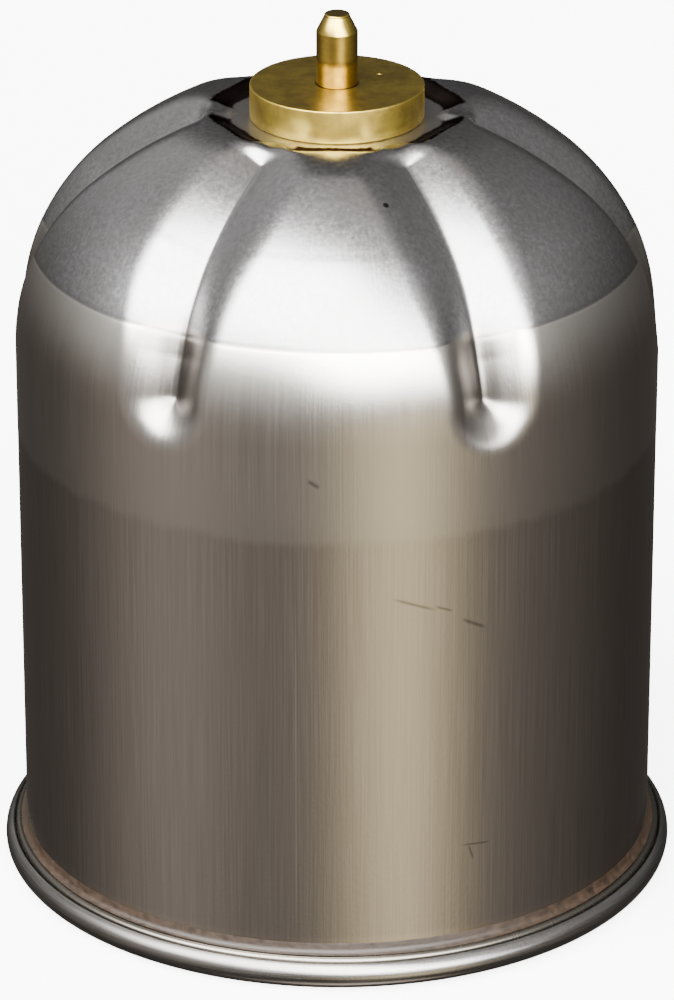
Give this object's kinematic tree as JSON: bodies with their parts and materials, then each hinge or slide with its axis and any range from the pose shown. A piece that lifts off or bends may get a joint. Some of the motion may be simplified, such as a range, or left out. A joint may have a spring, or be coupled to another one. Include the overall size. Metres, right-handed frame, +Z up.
{
  "type": "magnetic system filter canister",
  "caption": "Spin-on magnetic system filter: fluted domed steel can with a rolled rim, a sprung brass bleed pin on top and a threaded port in the base.",
  "frame": {"origin": "on the can's axis, level with the bottom of the rolled rim", "axes": "+Z up the can's axis to the bleed pin, -Y to the front of the picture"},
  "size_m": [0.0962, 0.0962, 0.1258],
  "materials": {
    "can_steel": "bare deep-drawn steel, satin, with vertical drawing marks",
    "rim_steel": "bare rolled steel, smooth and shiny",
    "sealant": "brown seam sealant, dull",
    "plate_steel": "oiled pressed steel",
    "seal_rubber": "black nitrile, matt",
    "brass_turned": "turned brass, fine lathe rings",
    "brass_pin": "turned brass, polished",
    "zinc_steel": "zinc plated steel",
    "spring_steel": "stainless spring wire",
    "stainless": "stainless steel, satin",
    "magnet_nickel": "nickel plated magnet",
    "pole_steel": "soft iron, ground",
    "inner_plastic": "glass-filled nylon, matt"
  },
  "bodies": {
    "canister": {"can_shell": "can_steel", "seaming_lid": "rim_steel", "seam_sealant": "sealant", "tapping_plate": "plate_steel", "face_gasket": "seal_rubber", "head_body": "brass_turned", "head_seal": "seal_rubber", "inner_washer": "zinc_steel", "lock_nut": "brass_turned", "spring_retainer": "brass_turned", "bleed_spring": "spring_steel", "rod_top_plug": "stainless", "rod_jacket": "stainless", "rod_bottom_plug": "stainless", "stack_cushion": "seal_rubber", "strainer_cup": "stainless", "rod_bumper": "seal_rubber", "diverter_tube": "inner_plastic", "diverter_spider": "inner_plastic", "magnet_1": "magnet_nickel", "magnet_2": "magnet_nickel", "magnet_3": "magnet_nickel", "magnet_4": "magnet_nickel", "magnet_5": "magnet_nickel", "pole_disc_1": "pole_steel", "pole_disc_2": "pole_steel", "pole_disc_3": "pole_steel", "pole_disc_4": "pole_steel", "pole_disc_5": "pole_steel", "pole_disc_6": "pole_steel"},
    "bleed_pin": {"bleed_pin": "brass_pin", "pin_o_ring": "seal_rubber"}
  },
  "joints": [
    {"name": "bleed_pin_press", "type": "slide", "parent": "canister", "child": "bleed_pin", "axis": [0, 0, 1], "range_m": [-0.0025, 0], "stiffness_N_per_m": 400, "springref_m": 0.004, "deforming": ["bleed_spring"]}
  ]
}
